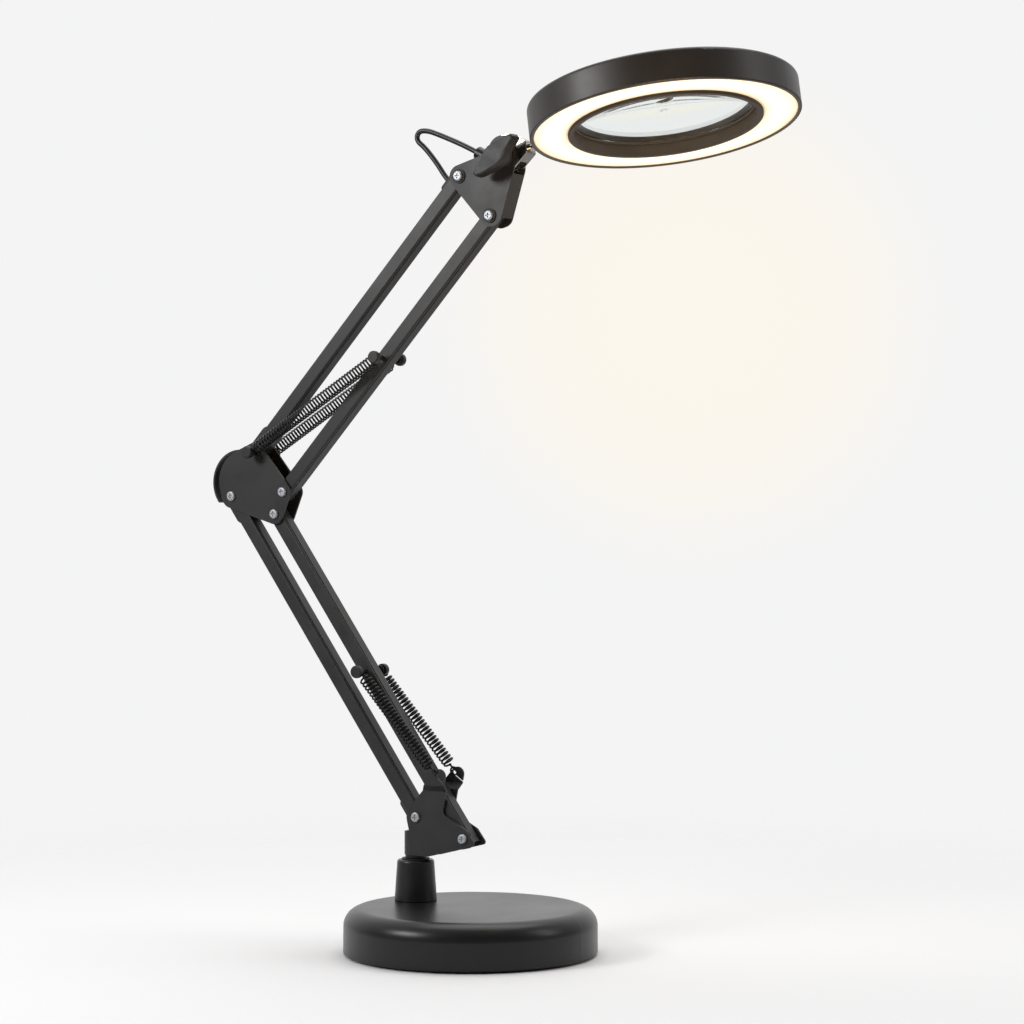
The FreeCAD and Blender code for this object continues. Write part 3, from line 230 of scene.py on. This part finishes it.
def opal_diffuser():
    """Opal plastic lit from behind: bright in the middle of the band, warmer at its edges."""
    material, tree, shader, place = new_material("opal_diffuser")
    lifted = Matrix.Rotation(-RING_LIFT, 3, "Y") @ Matrix.Rotation(-RING_LEAN, 3, "X")
    offset = tree.nodes.new("ShaderNodeVectorMath")
    offset.operation = "SUBTRACT"
    offset.inputs[1].default_value = RING_MIDDLE
    cross = tree.nodes.new("ShaderNodeVectorMath")
    cross.operation = "CROSS_PRODUCT"
    cross.inputs[1].default_value = lifted @ Vector((0, 0, 1))
    length = tree.nodes.new("ShaderNodeVectorMath")
    length.operation = "LENGTH"
    tree.links.new(place, offset.inputs[0])
    tree.links.new(offset.outputs["Vector"], cross.inputs[0])
    tree.links.new(cross.outputs["Vector"], length.inputs[0])
    across = tree.nodes.new("ShaderNodeMapRange")
    across.inputs["From Min"].default_value = RING_INNER
    across.inputs["From Max"].default_value = RING_OUTER
    tree.links.new(length.outputs["Value"], across.inputs["Value"])
    bright, warm = (1.0, 0.93, 0.80), (0.92, 0.74, 0.52)
    glow = ramp(tree, across.outputs["Result"], [
        (0.0, (0.62, 0.40, 0.22)), (0.10, warm), (0.34, bright),
        (0.66, bright), (0.92, warm), (1.0, (0.60, 0.38, 0.20))])
    tree.links.new(glow, shader.inputs["Emission Color"])
    shader.inputs["Emission Strength"].default_value = DIFFUSER_GLOW
    cloud = grain(tree, place, 60.0, 3.0)
    tree.links.new(ramp(tree, cloud, [(0.3, (0.52, 0.48, 0.41)), (0.7, (0.58, 0.54, 0.47))]),
                   shader.inputs["Base Color"])
    shader.inputs["Roughness"].default_value = 0.42
    bump(tree, shader, grain(tree, place, 2400.0), 0.05, 0.00003)
    return material


LOOKS["lens_glass"] = lens_glass()
LOOKS["opal_diffuser"] = opal_diffuser()

slots = {part["node"]: part["material_slot"] for part in frame["record"]["subparts"]}
for name, thing in frame["nodes"].items():
    thing.data.materials.clear()
    thing.data.materials.append(LOOKS[slots[name]])


# ---- mesh helpers ----------------------------------------------------------------------------

def add_mesh(name, vertices, faces, look):
    """Smooth-shaded mesh piece with one look, which is also its slot."""
    mesh = bpy.data.meshes.new(name)
    mesh.from_pydata([tuple(v) for v in vertices], [], faces)
    mesh.validate()
    mesh.polygons.foreach_set("use_smooth", [True] * len(mesh.polygons))
    mesh.materials.append(LOOKS[look])
    thing = bpy.data.objects.new(name, mesh)
    bpy.context.scene.collection.objects.link(thing)
    return thing


def swept(points, radius, sides):
    """Round tube of constant radius through points, closed by shallow domes at both ends."""
    count = len(points)
    vertices, faces = [], []
    along = [(points[min(i + 1, count - 1)] - points[max(i - 1, 0)]).normalized()
             for i in range(count)]
    across = along[0].orthogonal().normalized()
    rings = []
    for i in range(count):
        across = (across - along[i] * across.dot(along[i])).normalized()
        other = along[i].cross(across)
        rings.append([points[i] + (across * math.cos(t) + other * math.sin(t)) * radius
                      for t in (2 * math.pi * k / sides for k in range(sides))])
    for ring in rings:
        vertices += ring
    for i in range(count - 1):
        for k in range(sides):
            a, b = i * sides + k, i * sides + (k + 1) % sides
            faces.append((a, b, b + sides, a + sides))
    for end, way in ((0, -1), (count - 1, 1)):
        base = end * sides
        tip = len(vertices)
        vertices.append(points[end] + along[end] * (radius * 0.5 * way))
        for k in range(sides):
            pair = (base + k, base + (k + 1) % sides)
            faces.append((pair[1], pair[0], tip) if way < 0 else (pair[0], pair[1], tip))
    return vertices, faces


# ---- springs: real coils, with a loop round each pin or a hook into the bracket's ear ---------

WIRE = 0.00065              # radius of the spring wire
COIL = 0.0036               # radius of the coil's centre line
EYE = 0.0026                # radius of the loop round a pin
HOOK = 0.0019               # radius of the hook in the bracket's ear
STEPS = 24                  # points in one turn
TAPER = 14                  # points over which a coil's end opens to full size
PIN_GAP = 0.0050            # from a pin to the first winding
EAR_GAP = 0.0065            # from the ear's hole to the last winding
SPRING_SIDE = 11.6          # from the arm's middle plane to a spring, in millimetres
EAR_SIDE = 10.2             # and to the hook's tip inside the ear
LOWER_TURNS, UPPER_TURNS = 28, 44
EYE_STEPS, HOOK_STEPS = 30, 20


def spring_line(start, end, turns, hook=None):
    """Centre line of a spring's wire from a pin at start to another pin at end.

    With hook, end is the hole in an ear, and the wire goes through it to the point hook.
    """
    way = (end - start).normalized()
    side = Vector((0, 1, 0))
    over = way.cross(side).normalized()

    def eye(centre, facing):
        """Loop round a pin, from beyond the pin to the side where the coils are."""
        points = []
        for i in range(EYE_STEPS + 1):
            share = i / EYE_STEPS
            t = math.radians(-170 + 350 * share)
            points.append(centre + (facing * -math.cos(t) + over * math.sin(t)) * EYE
                          - side * (0.0012 * (share - 0.5)))
        return points

    points = eye(start, -way)
    first, last = start + way * PIN_GAP, end - way * (EAR_GAP if hook else PIN_GAP)
    total = turns * STEPS
    for i in range(total + 1):
        t = 2 * math.pi * i / STEPS
        size = COIL * min(1.0, 0.3 + i / TAPER, 0.3 + (total - i) / TAPER)
        points.append(first.lerp(last, i / total)
                      + (over * math.sin(t) + side * math.cos(t)) * size)
    if not hook:
        return points + eye(end, way)[::-1]
    points.append(last + way * 0.0012)
    for i in range(HOOK_STEPS + 1):
        t = math.radians(-150 + 300 * i / HOOK_STEPS)
        points.append(end - way * 0.0016 + (way * -math.cos(t) - over * math.sin(t)) * HOOK
                      + (hook - end) * (i / HOOK_STEPS))
    return points


lower_pin = along_tube(RIGHT_FOOT, LOWER_REACH, 128.5, 1.2)
upper_pin = along_tube(RIGHT_ELBOW, UPPER_REACH, 116.0, 1.2)
ear = (22.8, 111.6)
for word, side in (("front", -1), ("rear", 1)):
    y = SPRING_SIDE * side
    start, end = arm(*lower_pin, y), arm(*ear, y)
    line = spring_line(start, end, LOWER_TURNS, arm(*ear, EAR_SIDE * side))
    low = add_mesh(f"lower_coil_{word}", *swept(line, WIRE, 8), "spring_steel")
    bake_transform(low)
    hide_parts(f"lower_spring_{word}")
    start, end = arm(*LEFT_ELBOW, y), arm(*upper_pin, y)
    line = spring_line(start, end, UPPER_TURNS)
    high = add_mesh(f"upper_coil_{word}", *swept(line, WIRE, 8), "spring_steel")
    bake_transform(high)
    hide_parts(f"upper_spring_{word}")


# ---- cord loop at the head, and the leads behind the elbow -----------------------------------

def nurbs_line(name, route):
    """Points along a NURBS curve with the given control points."""
    data = bpy.data.curves.new(name, "CURVE")
    data.dimensions = "3D"
    data.resolution_u = 16
    spline = data.splines.new("NURBS")
    spline.points.add(len(route) - 1)
    for point, place in zip(spline.points, route):
        point.co = (*place, 1.0)
    spline.order_u = 3
    spline.use_endpoint_u = True
    holder = bpy.data.objects.new(name, data)
    bpy.context.scene.collection.objects.link(holder)
    bpy.context.view_layer.update()
    shape = holder.evaluated_get(bpy.context.evaluated_depsgraph_get())
    mesh = bpy.data.meshes.new_from_object(shape)
    points = [v.co.copy() for v in mesh.vertices]
    bpy.data.objects.remove(holder)
    bpy.data.meshes.remove(mesh)
    bpy.data.curves.remove(data)
    return points


CORD_RADIUS = 0.0017
LEAD_RADIUS = 0.00085
GUIDE_BACK, GUIDE_OUT = 9.3, 4.9        # mouth of the upper cord guide, from the tube's last pivot
LEAD_PAST, LEAD_OUT = 4.8, 3.9          # end of the lead inside a tube, past the elbow's pivot

mouth = along_tube(LEFT_ELBOW, UPPER_REACH, math.hypot(*UPPER_REACH) - GUIDE_BACK, GUIDE_OUT)
LOOP_ROUTE = [arm(*mouth), arm(22.9, 491.3), arm(16.4, 500.8), arm(6.9, 511.9),
              arm(0.4, 516.9), arm(1.9, 522.6), arm(8.8, 522.6), arm(16.9, 519.6),
              arm(30.0, 514.0), arm(41.4, 508.6), arm(49.6, 504.2)]
loop_line = nurbs_line("loop_line", LOOP_ROUTE)
loop = add_mesh("cord_loop", *swept(loop_line, CORD_RADIUS, 20), "cord_rubber")
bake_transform(loop)
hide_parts("head_cord_loop")

# The bare lead crosses behind the elbow's spine, clipped to the elbow half way.
below = along_tube(LEFT_FOOT, LOWER_REACH, math.hypot(*LOWER_REACH) + LEAD_PAST, LEAD_OUT)
above = along_tube(LEFT_ELBOW, UPPER_REACH, -LEAD_PAST, LEAD_OUT)
clip = (below[0] + 3.4, below[1] + 12.0)
low_route = [arm(*below), arm(below[0] - 2.6, below[1] + 3.6),
             arm(below[0] - 1.2, below[1] + 8.6), arm(*clip)]
high_route = [arm(clip[0] + 0.5, clip[1] + 0.25), arm(clip[0] + 4.6, clip[1] + 1.4),
              arm(above[0] - 3.4, above[1] - 4.2), arm(*above)]
for node, route, bodies in (("elbow_lead_lower", low_route, ("lower_left_bar", "elbow")),
                            ("elbow_lead_upper", high_route, ("elbow", "upper_left_bar"))):
    bend = swept(nurbs_line(node, route), LEAD_RADIUS, 14)
    lead = add_mesh(f"{node}_bend", *bend, "wire_jacket")
    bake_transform(lead)
    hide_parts(node)


# ---- wing knob -------------------------------------------------------------------------------

# In millimetres. One half of the wing's outline, seen from the front; the other half is the same,
# turned half round. Then the wing's and the hub's sections, from back to front.
WING_HALF = [(18.4, -1.6), (18.2, 0.9), (15.4, 2.6), (12.0, 4.0), (8.0, 5.4), (4.5, 6.6),
             (0.5, 7.3), (-3.0, 7.1), (-6.5, 5.8), (-9.5, 4.4), (-13.6, 3.2), (-17.1, 2.4)]
WING_SECTIONS = [(12.2, 0.80), (12.9, 0.92), (14.2, 1.0), (20.4, 0.98), (21.6, 0.94),
                 (22.3, 0.84)]          # (depth, size)
WING_INSET = 9.0                        # how far a section of size 0 would draw in the ends
HUB_SECTIONS = [(7.55, 5.7), (7.9, 6.15), (11.4, 6.15), (13.4, 5.4), (14.6, 4.4)]
HUB_SIDES = 36
KNOB_AT = (71.14, 499.96)
KNOB_TURN = 41.0                        # degrees


def skin(mesh, rows):
    """Closed skin over rows of vertices: walls between them, and a face at each end."""
    count = len(rows[0])
    for low, high in zip(rows, rows[1:]):
        for i in range(count):
            j = (i + 1) % count
            mesh.faces.new((low[i], low[j], high[j], high[i]))
    mesh.faces.new(rows[0][::-1])
    mesh.faces.new(rows[-1])


def wing_knob():
    """Moulded butterfly knob: a bevelled wing on a round hub."""
    outline = WING_HALF + [(-u, -v) for u, v in WING_HALF]
    mesh = bmesh.new()
    rows = []
    for depth, size in WING_SECTIONS:
        inset = (1 - size) * WING_INSET
        row = []
        for u, v in outline:
            reach = math.hypot(u, v)
            shrink = (reach - inset) / reach
            row.append(mesh.verts.new((u * shrink, -depth, v * (1 - (1 - size) * 0.9))))
        rows.append(row)
    skin(mesh, rows)
    turns = [2 * math.pi * k / HUB_SIDES for k in range(HUB_SIDES)]
    skin(mesh, [[mesh.verts.new((radius * math.cos(t), -depth, radius * math.sin(t)))
                 for t in turns] for depth, radius in HUB_SECTIONS])
    bmesh.ops.recalc_face_normals(mesh, faces=mesh.faces)
    turned = Matrix.Rotation(math.radians(-KNOB_TURN), 4, "Y")
    place = Matrix.Translation(arm(*KNOB_AT)) @ turned @ Matrix.Scale(0.001, 4)
    bmesh.ops.transform(mesh, matrix=place, verts=mesh.verts)
    data = bpy.data.meshes.new("wing_knob")
    mesh.to_mesh(data)
    mesh.free()
    data.materials.append(LOOKS["knob_plastic"])
    knob = bpy.data.objects.new("wing_knob", data)
    bpy.context.scene.collection.objects.link(knob)
    rounding = knob.modifiers.new("rounding", "BEVEL")
    rounding.width = 0.0007
    rounding.segments = 3
    rounding.limit_method = "ANGLE"
    rounding.angle_limit = math.radians(28)
    data.polygons.foreach_set("use_smooth", [True] * len(data.polygons))
    knob.modifiers.new("normals", "WEIGHTED_NORMAL").keep_sharp = False
    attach(knob, "clamp_knob")
    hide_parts("clamp_knob")


wing_knob()


# ---- floor, light and camera -----------------------------------------------------------------

FLOOR_REACH = 3.0
FLOOR_LEVEL = -0.0002               # just under the base's pad
FADE_START, FADE_END = 0.10, 0.95   # the floor fades out between these distances


def floor_sheet():
    """Pale floor that fades into the room's light away from the lamp; glossy rays see a darker
    copy of it, painted shade in the reflections.
    """
    material = bpy.data.materials.new("floor_paper")
    material.use_nodes = True
    tree = material.node_tree
    shader = tree.nodes["Principled BSDF"]
    shader.inputs["Base Color"].default_value = (0.865, 0.865, 0.87, 1.0)
    shader.inputs["Roughness"].default_value = 0.9
    shader.inputs["Specular IOR Level"].default_value = 0.1
    # Painted shade: a darker copy of the floor, seen only by glossy rays, darkens its reflection
    # in the base and the other dark parts.
    shaded_floor_copy = tree.nodes.new("ShaderNodeBsdfDiffuse")
    shaded_floor_copy.inputs["Color"].default_value = (0.80, 0.80, 0.81, 1.0)
    path = tree.nodes.new("ShaderNodeLightPath")
    soft = tree.nodes.new("ShaderNodeMixShader")
    tree.links.new(path.outputs["Is Glossy Ray"], soft.inputs["Fac"])
    tree.links.new(shader.outputs["BSDF"], soft.inputs[1])
    tree.links.new(shaded_floor_copy.outputs["BSDF"], soft.inputs[2])
    clear = tree.nodes.new("ShaderNodeBsdfTransparent")
    mix = tree.nodes.new("ShaderNodeMixShader")
    place = tree.nodes.new("ShaderNodeTexCoord").outputs["Object"]
    length = tree.nodes.new("ShaderNodeVectorMath")
    length.operation = "LENGTH"
    fade = tree.nodes.new("ShaderNodeMapRange")
    fade.interpolation_type = "SMOOTHSTEP"
    fade.inputs["From Min"].default_value = FADE_START
    fade.inputs["From Max"].default_value = FADE_END
    tree.links.new(place, length.inputs[0])
    tree.links.new(length.outputs["Value"], fade.inputs["Value"])
    tree.links.new(fade.outputs["Result"], mix.inputs["Fac"])
    tree.links.new(soft.outputs["Shader"], mix.inputs[1])
    tree.links.new(clear.outputs["BSDF"], mix.inputs[2])
    tree.links.new(mix.outputs["Shader"], tree.nodes["Material Output"].inputs["Surface"])
    mesh = bpy.data.meshes.new("floor")
    corners = [(-1, -1), (1, -1), (1, 1), (-1, 1)]
    mesh.from_pydata([(x * FLOOR_REACH, y * FLOOR_REACH, FLOOR_LEVEL) for x, y in corners],
                     [], [(0, 1, 2, 3)])
    mesh.materials.append(material)
    floor = bpy.data.objects.new("floor", mesh)
    bpy.context.scene.collection.objects.link(floor)


PAINTED_POOL_WAY = (-0.4601, 0.8903, 0.0800)    # towards the painted pool of warm ring light on the backdrop
PAINTED_POOL_EDGE = 0.9945                      # cosine of the angle at which it ends
BRIGHT_WAY = (-0.45, 0.72, 0.53)        # towards the brightest part of the room


def soft_room():
    """Pale surroundings with a painted pool of warm ring light to look at, also through the lens.

    The light that they give, and their reflections, are brighter above and behind.
    """
    world = bpy.data.worlds.new("room")
    bpy.context.scene.world = world
    world.use_nodes = True
    tree = world.node_tree
    out = tree.nodes["World Output"]
    seen = tree.nodes["Background"]
    seen.inputs["Strength"].default_value = 1.0
    given = tree.nodes.new("ShaderNodeBackground")
    where = tree.nodes.new("ShaderNodeTexCoord").outputs["Generated"]
    glow = tree.nodes.new("ShaderNodeVectorMath")
    glow.operation = "DOT_PRODUCT"
    glow.inputs[1].default_value = Vector(PAINTED_POOL_WAY).normalized()
    tree.links.new(where, glow.inputs[0])
    # Painted light: a warm pool of the ring's light, painted into the backdrop that the camera and
    # the lens see.
    painted_pool = tree.nodes.new("ShaderNodeMapRange")
    painted_pool.interpolation_type = "SMOOTHSTEP"
    painted_pool.inputs["From Min"].default_value = PAINTED_POOL_EDGE
    painted_pool.inputs["From Max"].default_value = 1.0
    tree.links.new(glow.outputs["Value"], painted_pool.inputs["Value"])
    tree.links.new(ramp(tree, painted_pool.outputs["Result"], [(0.0, (0.905, 0.905, 0.910)),
                                                       (1.0, (0.972, 0.925, 0.84))]),
                   seen.inputs["Color"])
    lean = tree.nodes.new("ShaderNodeVectorMath")
    lean.operation = "DOT_PRODUCT"
    lean.inputs[1].default_value = Vector(BRIGHT_WAY).normalized()
    tree.links.new(where, lean.inputs[0])
    light = tree.nodes.new("ShaderNodeValToRGB")
    light.color_ramp.interpolation = "EASE"
    stops = light.color_ramp.elements
    stops[0].position, stops[0].color = 0.0, (0.03, 0.03, 0.031, 1.0)
    stops[1].position, stops[1].color = 1.0, (1.0, 1.0, 1.0, 1.0)
    middle = stops.new(0.5)
    middle.color = (0.16, 0.16, 0.163, 1.0)
    spread = tree.nodes.new("ShaderNodeMapRange")
    spread.inputs["From Min"].default_value = -1.0
    spread.inputs["From Max"].default_value = 1.0
    tree.links.new(lean.outputs["Value"], spread.inputs["Value"])
    tree.links.new(spread.outputs["Result"], light.inputs["Fac"])
    tree.links.new(light.outputs["Color"], given.inputs["Color"])
    given.inputs["Strength"].default_value = 1.0
    path = tree.nodes.new("ShaderNodeLightPath")
    mix = tree.nodes.new("ShaderNodeMixShader")
    tree.links.new(path.outputs["Is Camera Ray"], mix.inputs["Fac"])
    through = tree.nodes.new("ShaderNodeMixShader")
    tree.links.new(path.outputs["Is Transmission Ray"], through.inputs["Fac"])
    tree.links.new(given.outputs["Background"], through.inputs[1])
    tree.links.new(seen.outputs["Background"], through.inputs[2])
    tree.links.new(through.outputs["Shader"], mix.inputs[1])
    tree.links.new(seen.outputs["Background"], mix.inputs[2])
    tree.links.new(mix.outputs["Shader"], out.inputs["Surface"])


def soft_box(name, place, aim, width, height, power, colour=(1.0, 1.0, 1.0)):
    """Rectangular light at place that faces aim, of power watts, and is not seen itself."""
    data = bpy.data.lights.new(name, "AREA")
    data.shape = "RECTANGLE"
    data.size = width
    data.size_y = height
    data.energy = power
    data.color = colour
    light = bpy.data.objects.new(name, data)
    light.location = place
    light.rotation_mode = "QUATERNION"
    light.rotation_quaternion = (Vector(aim) - Vector(place)).to_track_quat("-Z", "Y")
    light.visible_camera = False
    bpy.context.scene.collection.objects.link(light)


floor_sheet()
soft_room()
soft_box("front_box", (-0.72, -1.12, 0.86), (0.02, 0.0, 0.48), 0.55, 0.45, 9.8)
soft_box("top_box", (-0.1, 0.45, 2.0), (0.0, 0.0, 0.2), 1.6, 1.2, 16.0)
soft_box("side_box", (1.5, 0.5, 0.9), (0.0, 0.0, 0.3), 0.4, 1.0, 4.0)

# The lit ring warms what is near it: the neck and the bracket, and the collar's inner wall.
RING_DOWN = Vector((0.178, -0.087, -0.980))     # the way that the ring shines
soft_box("rim_warmth", RING_MIDDLE + Vector((0.10, -0.22, -0.13)), RING_MIDDLE, 0.16, 0.05,
         0.42, (1.0, 0.70, 0.42))
glow_data = bpy.data.lights.new("ring_glow", "POINT")
glow_data.energy = 0.30
glow_data.color = (1.0, 0.74, 0.46)
glow_data.shadow_soft_size = 0.03
ring_glow = bpy.data.objects.new("ring_glow", glow_data)
ring_glow.location = RING_MIDDLE + RING_DOWN * 0.034
ring_glow.visible_camera = False
ring_glow.visible_glossy = False
bpy.context.scene.collection.objects.link(ring_glow)

SENSOR = 36.0                       # millimetres across the picture
FOCAL_WIDTHS = 2686.75 / 1024       # focal length, in widths of the picture
camera_data = bpy.data.cameras.new("camera")
camera_data.sensor_width = SENSOR
camera_data.lens = SENSOR * FOCAL_WIDTHS
camera_data.clip_start = 0.05
camera_data.clip_end = 60.0
camera = bpy.data.objects.new("camera", camera_data)
camera.location = (0.8980, -1.4371, 0.2679)
camera.rotation_mode = "QUATERNION"
camera.rotation_quaternion = Vector((-0.5168, 0.8561, 0.00597)).to_track_quat("-Z", "Y")
bpy.context.scene.collection.objects.link(camera)
bpy.context.scene.camera = camera
bpy.context.scene.view_settings.view_transform = "Standard"
